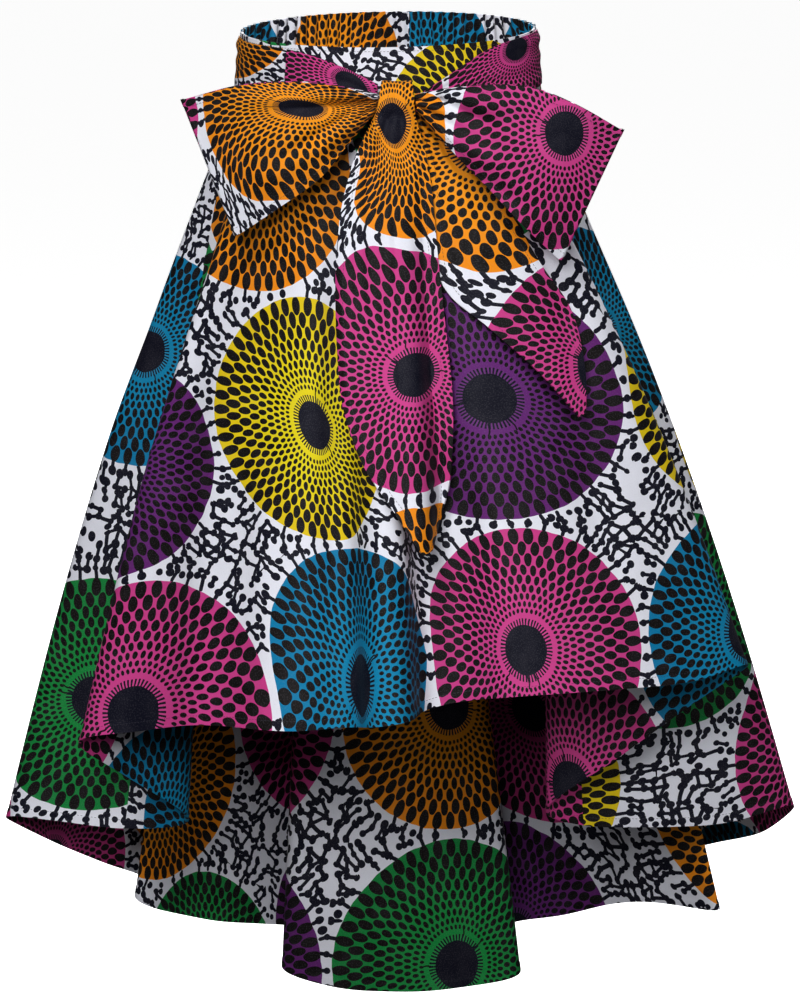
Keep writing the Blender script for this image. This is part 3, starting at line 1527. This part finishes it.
@dataclass
class BowTail:
    """One tail of the bow, down the skirt's front."""

    name: str
    stations: tuple[TailStation, ...]
    lay: PrintLay
    flat: tuple[float, float]
    area: float
    wall: float = 0.0014
    pleats: int = 3
    pleat_depth: float = 0.0035
    pleat_end: float = 0.55
    rows: int = 170
    columns: int = 64
    over: tuple[OverStation, ...] = ()
    over_rows: int = 22
    over_round: float = 0.0025
    over_start: float = 0.4
    over_crease: float = 0.0016
    crease_side: float = -0.05
    crease_width: float = 0.16
    over_step: float = 0.0012
    over_fade: float = 0.034
    reach: tuple[float, ...] = (-0.024, -0.012, 0.0, 0.012, 0.024)
    hem_width: float = 0.0085
    hem_lift: float = 0.0004
    hem_inset: float = 0.0078

    def cloth(self, front: np.ndarray) -> ClothGrid:
        """The tail's grid, laid on the skirt's front as a stiff cloth that bridges narrow dips.

        Args:
            front: the points of the skirt's front panel.

        Returns:
            The grid: rows down it, columns across it.
        """
        fields = ("left_x", "left_z", "right_x", "right_z", "lift")
        down = np.linspace(0.0, 1.0, self.rows + 1)
        left_x, left_z, right_x, right_z, lift = (
            value * MILLIMETRE for value in stations_at(self.stations, fields, down)
        )
        across = np.linspace(0.0, 1.0, self.columns + 1)
        x = left_x[:, None] + (right_x - left_x)[:, None] * across
        z = left_z[:, None] + (right_z - left_z)[:, None] * across
        fade = np.maximum(0.0, 1.0 - down / self.pleat_end)
        folds = pleat(across, self.pleats, self.pleat_depth)[None] * fade[:, None]
        first, last = np.argmin(front[-1, :, 0]), np.argmax(front[-1, :, 0])
        face = front[:, first : last + 1]
        y = np.full(x.shape, np.inf)
        for reach in self.reach:
            spots = (x + reach).ravel()
            depths = np.array([np.interp(spots, row[:, 0], row[:, 1]) for row in face])
            heights = np.array([np.interp(spots, row[:, 0], row[:, 2]) for row in face])
            for spot, height in enumerate(z.ravel()):
                depth = np.interp(-height, -heights[:, spot], depths[:, spot])
                at = np.unravel_index(spot, x.shape)
                y[at] = min(y[at], depth)
        y -= lift[:, None] + folds
        grid = np.stack([x, y, z], axis=-1)
        flat = np.stack([x, -z], axis=-1)
        if self.over:
            grid, flat = self._over_knot(grid, flat, across)
        places = self.lay.at(flat)
        return ClothGrid(grid, places, self.wall, ("left", "right"), self.hem_width, self.hem_lift)

    def _over_knot(
        self, grid: np.ndarray, flat: np.ndarray, across: np.ndarray
    ) -> tuple[np.ndarray, np.ndarray]:
        """Carries the tail's cloth up and over the knot.

        Args:
            grid: the tail's points.
            flat: their places on the flat cloth.
            across: the columns' shares of the width.

        Returns:
            The points and flat places, with the rows over the knot first.
        """
        down = np.linspace(0.0, 1.0, self.over_rows)
        values = stations_at(self.over, ("y", "z", "left_x", "right_x"), down)
        y, z, left_x, right_x = (value * MILLIMETRE for value in values)
        side = (2.0 * across - 1.0)[None]
        crease = self.over_crease * np.exp(-0.5 * ((side - self.crease_side) / self.crease_width) ** 2)
        shape = self.over_round * side**2 + crease
        x = left_x[:, None] + (right_x - left_x)[:, None] * across
        grown = np.linspace(self.over_start, 1.0, self.over_rows)[:, None]
        rows = np.stack([x, y[:, None] + shape * grown, np.broadcast_to(z[:, None], x.shape)], axis=-1)
        below = grid[0, :, 2].mean() - grid[..., 2]
        fade = 1.0 - soft_step(0.0, self.over_fade, below)
        grid = grid.copy()
        grid[..., 1] += (y[-1] + self.over_step + shape - grid[0, :, 1].mean()) * fade
        climb = lengths_along(np.stack([y, z], axis=-1))
        climb = climb - climb[-1] - z[-1]
        more = np.stack([x, np.broadcast_to(climb[:, None], x.shape)], axis=-1)
        return np.concatenate([rows, grid]), np.concatenate([more, flat])

    def make(self, front: np.ndarray, cloths: dict[str, bpy.types.Material], thread: Stitching) -> None:
        """Makes and dresses the tail."""
        grid = self.cloth(front)
        piece = make_cloth("cloth_" + self.name, [grid], cloths[self.name])
        dress(piece, [self.name])
        for edge in ("left", "right"):
            thread.along_edge(grid, edge, self.hem_inset)


@dataclass
class Knot:
    """The knot: a tie drawn tight over the crossing, with creases running down it."""

    middle: tuple[float, float, float] = (0.0080, -0.1235, -0.0595)
    half_size: tuple[float, float, float] = (0.0165, 0.0105, 0.0150)
    power: float = 2.6
    taper: float = 0.26
    creases: int = 3
    crease_depth: float = 0.0012
    segments: int = 96
    rings: int = 56

    def make(self, cloth: bpy.types.Material, lay: PrintLay) -> None:
        """Makes and dresses the knot."""
        shape = bmesh.new()
        bmesh.ops.create_uvsphere(shape, u_segments=self.segments, v_segments=self.rings, radius=1.0)
        for vert in shape.verts:
            unit = vert.co.normalized()
            size = sum(abs(value) ** self.power for value in unit) ** (-1.0 / self.power)
            crease = self.crease_depth * math.cos(2 * math.pi * self.creases * unit.x) * max(0.0, -unit.y)
            width = 1.0 - self.taper * unit.z * size
            place = [unit[axis] * size * self.half_size[axis] for axis in range(3)]
            vert.co = (
                self.middle[0] + place[0] * width,
                self.middle[1] + place[1] - crease,
                self.middle[2] + place[2],
            )
        mesh = bpy.data.meshes.new("cloth_bow_knot")
        shape.to_mesh(mesh)
        shape.free()
        flat = np.array([(vertex.co.x, -vertex.co.z) for vertex in mesh.vertices])
        dress(link_piece(mesh, lay.at(flat), cloth), ["bow_knot"])


# The studio


@dataclass(frozen=True)
class SoftBox:
    """One soft area light."""

    name: str
    place: tuple[float, float, float]
    target: tuple[float, float, float]
    size: float
    power: float


@dataclass
class Studio:
    """The pale floor, the soft lights and the camera."""

    camera_place: tuple[float, float, float] = (0.011, -3.40, 0.14)
    camera_target: tuple[float, float, float] = (0.011, 0.0, -0.445)
    lens: float = 130.49
    sensor: float = 36.0
    floor_height: float = -1.05
    floor_radius: float = 60.0
    floor_color: tuple = dye(246, 246, 246)
    floor_roughness: float = 0.9
    floor_glow: float = 1.0
    clip_end: float = 200.0
    world_strength: float = 0.06
    contrast: float = 0.87
    boxes: tuple[SoftBox, ...] = (
        SoftBox("key", (-0.5, -3.9, 1.1), (0.0, 0.0, -0.45), 1.1, 82.0),
        SoftBox("low", (-2.4, -2.6, -0.6), (0.0, 0.0, -0.7), 0.7, 9.0),
        SoftBox("top", (-0.9, -2.4, 2.6), (0.0, 0.0, -0.45), 0.8, 62.0),
        SoftBox("fill", (2.2, -3.2, 0.9), (0.0, 0.0, -0.45), 1.4, 38.0),
        SoftBox("behind", (0.8, 3.4, 2.4), (0.0, 0.0, -0.45), 1.8, 210.0),
    )

    def make(self) -> None:
        """Makes the whole studio."""
        self._floor()
        self._world()
        for box in self.boxes:
            light = bpy.data.lights.new(box.name, "AREA")
            light.energy = box.power
            light.size = box.size
            lamp = bpy.data.objects.new(box.name, light)
            self._aim(lamp, box.place, box.target)
        data = bpy.data.cameras.new("camera")
        data.lens = self.lens
        data.sensor_width = self.sensor
        data.clip_end = self.clip_end
        camera = bpy.data.objects.new("camera", data)
        self._aim(camera, self.camera_place, self.camera_target)
        scene = bpy.context.scene
        scene.camera = camera
        scene.view_settings.view_transform = "Standard"
        scene.view_settings.gamma = self.contrast

    @staticmethod
    def _aim(thing: bpy.types.Object, place: tuple, target: tuple) -> None:
        """Puts a camera or a light at a place and points it at another."""
        thing.location = place
        thing.rotation_euler = (Vector(target) - Vector(place)).to_track_quat("-Z", "Y").to_euler()
        bpy.context.scene.collection.objects.link(thing)

    def _floor(self) -> None:
        """The pale floor."""
        radius, height = self.floor_radius, self.floor_height
        mesh = bpy.data.meshes.new("floor")
        corners = ((-radius, -radius), (radius, -radius), (radius, radius), (-radius, radius))
        mesh.from_pydata([(*corner, height) for corner in corners], [], [(0, 1, 2, 3)])
        material = bpy.data.materials.new("pale_floor")
        material.use_nodes = True
        shader = material.node_tree.nodes["Principled BSDF"]
        shader.inputs["Base Color"].default_value = self.floor_color
        shader.inputs["Roughness"].default_value = self.floor_roughness
        shader.inputs["Emission Color"].default_value = self.floor_color
        shader.inputs["Emission Strength"].default_value = self.floor_glow
        mesh.materials.append(material)
        floor = bpy.data.objects.new("floor", mesh)
        floor.visible_diffuse = False
        floor.visible_glossy = False
        bpy.context.scene.collection.objects.link(floor)

    def _world(self) -> None:
        """The even light from all round."""
        world = bpy.data.worlds.new("studio")
        world.use_nodes = True
        make = NodeMaker(world.node_tree)
        seen = make.term("ShaderNodeLightPath", {}, {}, "Is Camera Ray")
        strength = self.world_strength + seen * (self.floor_glow - self.world_strength)
        background = make.node("ShaderNodeBackground", {}, {"Color": self.floor_color, "Strength": strength})
        make.node("ShaderNodeOutputWorld", {}, {0: background.outputs[0]})
        bpy.context.scene.world = world


@dataclass(frozen=True)
class Thread:
    """The sewing thread: dark, slightly glossy and twisted."""

    color: tuple = dye(38, 38, 52)
    twist_color: tuple = dye(90, 90, 105)
    twist_scale: float = 900.0
    twist_strength: float = 0.5
    roughness: float = 0.55

    def material(self) -> bpy.types.Material:
        """Builds the material."""
        material, make = new_material("sewing_thread")
        place = make.term("ShaderNodeTexCoord", {}, {}, "Object")
        twist = make.term("ShaderNodeTexNoise", {}, {"Vector": place, "Scale": self.twist_scale})
        color = make.mix(twist * self.twist_strength, self.color, self.twist_color)
        shader = make.node("ShaderNodeBsdfPrincipled", {}, {"Base Color": color, "Roughness": self.roughness})
        make.node("ShaderNodeOutputMaterial", {}, {0: shader.outputs[0]})
        return material


LEFT_LOOP_FOLDS = (
    LoopFold(-12, -62, -72, -104, 3.6, 7),
    LoopFold(-12, -78, -62, -118, -5.0, 7),
    LoopFold(-30, -66, -100, -112, -3.0, 4.5),
    LoopFold(-8, -60, -108, -65, -3.2, 4.0),
    LoopFold(-20, -53, -150, -56, 2.6, 6),
    LoopFold(-60, -100, -130, -140, 2.2, 9),
)
RIGHT_LOOP_FOLDS = (
    LoopFold(44, -56, 108, -88, -5.0, 7),
    LoopFold(30, -60, 120, -66, 3.0, 7),
    LoopFold(30, -80, 130, -124, 3.0, 9),
    LoopFold(40, -104, 140, -160, -2.5, 7),
)
LEFT_LOOP_LAY = PrintLay(pins=(
    Pin("middle", -69, 33, 0, 0),
    Pin("above the middle", -68, 26, 0, -0.09),
    Pin("top edge", -65, 8, 0.01, -0.27),
    Pin("left edge", -157, 28, -0.472, 0.092),
    Pin("lower left edge", -159, 81, -0.35, 0.33),
    Pin("lower edge", -143, 109, -0.236, 0.419),
    Pin("low edge", -115, 124, -0.111, 0.468),
    Pin("by the knot", -6, 105, 0.40, 0.04),
    Pin("pink strip", -170, 34, -0.53, 0.10),
    Pin("low pink strip", -173, 82, -0.62, 0.29),
))
RIGHT_LOOP_LAY = PrintLay(pins=(
    Pin("middle", 138, 29, 0, 0),
    Pin("right of the middle", 152, 21, 0.088, 0),
    Pin("above the middle", 131, 12, 0, -0.09),
    Pin("top left edge", 41, 18, -0.46, -0.15),
    Pin("left edge", 44, 111, -0.48, 0.03),
    Pin("low edge", 182, 122, -0.02, 0.49),
    Pin("right edge", 180, 23, 0.19, 0.07),
))
LEFT_TAIL_LAY = PrintLay(pins=(
    Pin("middle", 4, 79, 0, 0),
    Pin("top of the middle", 4, 60, 0, -0.094),
    Pin("foot of the middle", 4, 97, 0, 0.094),
    Pin("left of the middle", -10, 79, -0.094, 0),
    Pin("right of the middle", 18, 79, 0.094, 0),
    Pin("upper left edge", -27, 108, -0.49, 0.20),
    Pin("left edge", -41, 146, -0.38, 0.39),
    Pin("low left edge", -23, 165, -0.145, 0.459),
    Pin("low edge", 7, 178, 0.012, 0.481),
    Pin("low right edge", 42, 173, 0.19, 0.441),
    Pin("pink top", 20, 191, 0, 0.52),
    Pin("pink", 24, 297, 0, 1),
    Pin("pink left", -47, 268, -0.33, 0.85),
    Pin("pink foot", 27, 395, 0, 1.481),
    Pin("tip", 28, 411, 0, 1.52),
    Pin("point", 35, 449, 0, 1.68),
))
RIGHT_TAIL_LAY = PrintLay(turn=26.0, pins=(
    Pin("orange", 86, 100, 0, 0),
    Pin("orange low left", 52, 202, -0.26, 0.41),
    Pin("orange foot", 92, 212, -0.17, 0.45),
    Pin("pink top", 142, 208, 0, 0.52),
    Pin("pink upper left", 110, 231, -0.2, 0.56),
    Pin("pink left", 92, 254, -0.30, 0.62),
    Pin("pink", 187, 300, 0.02, 1),
    Pin("pink, left of the middle", 171, 296, -0.094, 0.98),
))
FRONT_PINS = (
    Pin("orange", -120, 29, 1, 0),
    Pin("yellow", -103, 286, 1, 1),
    Pin("yellow, left of the middle", -117, 284, 0.906, 1),
    Pin("yellow, right of the middle", -90, 289, 1.094, 1),
    Pin("yellow, left edge", -198, 268, 0.52, 0.96),
    Pin("yellow, past the fold", -77, 291, 1.27, 1),
    Pin("yellow, by the tail", -66, 292, 1.36, 1.01),
    Pin("purple", 72, 272, 2, 1),
    Pin("purple, right edge", 192, 266, 2.48, 1.0),
    Pin("purple, by the tail", 40, 274, 1.86, 1.0),
    Pin("blue", -95, 524, 1, 2),
    Pin("blue, left edge", -173, 490, 0.52, 1.92),
    Pin("between blue and pink", 15, 495, 1.5, 1.98),
    Pin("pink", 98, 498, 2, 2),
    Pin("pink, right edge", 205, 487, 2.48, 2.0),
    Pin("left pink", -344, 500, 0, 2),
    Pin("left pink, right edge", -179, 541, 0.48, 2.05),
    Pin("left purple", -325, 268, 0, 1),
    Pin("right yellow", 307, 211, 3, 1),
    Pin("right blue", 325, 472, 3, 2),
    Pin("blue at the left seam", -578, 515, -1, 2),
    Pin("pink at the right seam", 570, 450, 4, 2),
    Pin("orange, left edge", -258, 45, 0.52, 0.06),
    Pin("behind the bow", 40, 8, 2, 0),
    Pin("off the left side", -395, 30, 0, 0),
    Pin("off the right side", 322, -10, 3, 0),
)
BACK_PINS = (
    Pin("middle orange", 56, 639, 0, 0),
    Pin("middle green", 88, 905, 0, 1),
    Pin("right inner pink", -142, 671, -1, 0),
    Pin("right inner purple", -130, 930, -1, 1),
    Pin("left inner purple", 355, 870, 1, 1),
    Pin("left inner orange", 490, 600, 2, 0),
    Pin("left inner green", 513, 840, 2, 1),
    Pin("right inner orange", -420, 710, -2, 0),
    Pin("left blue", 375, 108, 2, -2),
    Pin("left green", 645, 313, 3, -1),
    Pin("right green", -553, 309, -3, -2),
    Pin("right pink", -585, 519, -3, -1),
    Pin("right yellow", -778, 258, -4, -2),
    Pin("right blue", -352, 98, -2, -3),
)
FRONT_CREASES = (
    Crease(0.378, 0.415, 0.12, 1.0, -0.0042, 0.012),
    Crease(0.250, 0.292, 0.30, 1.0, 0.0035, 0.016),
    Crease(0.330, 0.352, 0.55, 1.0, 0.0030, 0.012),
    Crease(0.560, 0.545, 0.52, 1.0, -0.0035, 0.015),
    Crease(0.690, 0.655, 0.18, 0.92, -0.0050, 0.018),
    Crease(0.745, 0.725, 0.10, 0.70, 0.0040, 0.014),
    Crease(0.190, 0.215, 0.06, 0.62, -0.0045, 0.015),
    Crease(0.120, 0.130, 0.25, 1.0, 0.0035, 0.019),
    Crease(0.850, 0.865, 0.08, 0.85, -0.0040, 0.017),
)
BACK_CREASES = (
    Crease(0.070, 0.085, 0.10, 0.80, -0.0050, 0.020),
    Crease(0.150, 0.170, 0.20, 1.0, 0.0040, 0.024),
    Crease(0.265, 0.250, 0.06, 0.66, -0.0055, 0.018),
    Crease(0.370, 0.385, 0.30, 1.0, 0.0045, 0.026),
    Crease(0.470, 0.455, 0.08, 0.90, -0.0050, 0.021),
    Crease(0.560, 0.580, 0.35, 1.0, 0.0040, 0.024),
    Crease(0.655, 0.640, 0.05, 0.58, -0.0060, 0.017),
    Crease(0.740, 0.760, 0.15, 1.0, 0.0040, 0.027),
    Crease(0.865, 0.850, 0.10, 0.72, -0.0045, 0.020),
    Crease(0.930, 0.925, 0.30, 1.0, 0.0035, 0.022),
)
FRONT_PANEL = SkirtPanel(
    name="skirt_front",
    first_share=0.0,
    last_share=0.5,
    columns=300,
    rows=140,
    cut_angle=1.62,
    cut_radius=0.23,
    fall=0.62,
    lay=PrintLay(pins=FRONT_PINS),
    flat=(1.22, 0.70),
    area=0.50,
    creases=FRONT_CREASES,
)
BACK_PANEL = SkirtPanel(
    name="skirt_back",
    first_share=0.5,
    last_share=1.0,
    columns=430,
    rows=95,
    cut_angle=1.80,
    cut_radius=0.25,
    fall=0.85,
    lay=PrintLay(pins=BACK_PINS),
    flat=(1.72, 1.0),
    area=1.0,
    creases=BACK_CREASES,
)


def finishes(print_group: bpy.types.NodeTree) -> dict[str, bpy.types.Material]:
    """The finish of each piece of cloth."""
    made = (
        PrintedCotton("skirt_front", chart(
            "purple green orange green orange green",
            "yellow purple yellow purple yellow purple",
            "blue pink blue pink blue pink",
        ), -1, 0),
        PrintedCotton("skirt_back", chart(
            "orange purple blue orange purple yellow pink orange purple",
            "yellow green yellow pink blue green blue yellow orange",
            "purple pink blue green yellow blue purple green yellow",
            "green blue orange pink orange pink orange pink blue",
            "orange yellow blue purple green purple green blue orange",
        ), -4, -3),
        PrintedCotton("band_front", chart("green orange", "pink yellow"), -1, -1),
        PrintedCotton("band_back", chart("blue orange blue"), -1, 0),
        PrintedCotton("tie_left", chart("orange pink"), 0, 0),
        PrintedCotton("tie_right", chart("pink"), 0, 0),
        PrintedCotton("bow_knot", chart("orange"), 0, 0),
        PrintedCotton("loop_left", chart("pink orange"), -1, 0),
        PrintedCotton("loop_right", chart("orange pink"), -1, 0),
        PrintedCotton("tail_left", chart("orange", "pink", "orange"), 0, 0),
        PrintedCotton("tail_right", chart("orange", "pink"), 0, 0),
    )
    return {cloth.name: cloth.material(print_group) for cloth in made}


def main() -> None:
    logging.basicConfig(level=logging.INFO, format="%(name)s: %(message)s")
    cloths = finishes(WaxPrint().group())
    waist = Waist()
    thread = Stitching()
    Waistband(waist).make(cloths, thread)
    front = Skirt(waist, FRONT_PANEL, BACK_PANEL).make(cloths, thread)
    TieWraps(waist).make(cloths)
    BowLoop("loop_left", LEFT_LOOP, LEFT_LOOP_LAY, (0.096, 0.33), LEFT_LOOP_FOLDS).make(cloths, thread)
    BowLoop("loop_right", RIGHT_LOOP, RIGHT_LOOP_LAY, (0.100, 0.345), RIGHT_LOOP_FOLDS).make(cloths, thread)
    left_tail = BowTail("tail_left", LEFT_TAIL, LEFT_TAIL_LAY, (0.105, 0.42), 0.038, over=OVER_KNOT)
    left_tail.make(front.points, cloths, thread)
    right_tail = BowTail("tail_right", RIGHT_TAIL, RIGHT_TAIL_LAY, (0.115, 0.30), 0.0195)
    right_tail.make(front.points, cloths, thread)
    Knot().make(cloths["bow_knot"], LEFT_TAIL_LAY)
    stitches = thread.piece("hem_stitches", Thread().material())
    dress(stitches, [])
    Studio().make()


if __name__ == "__main__":
    main()
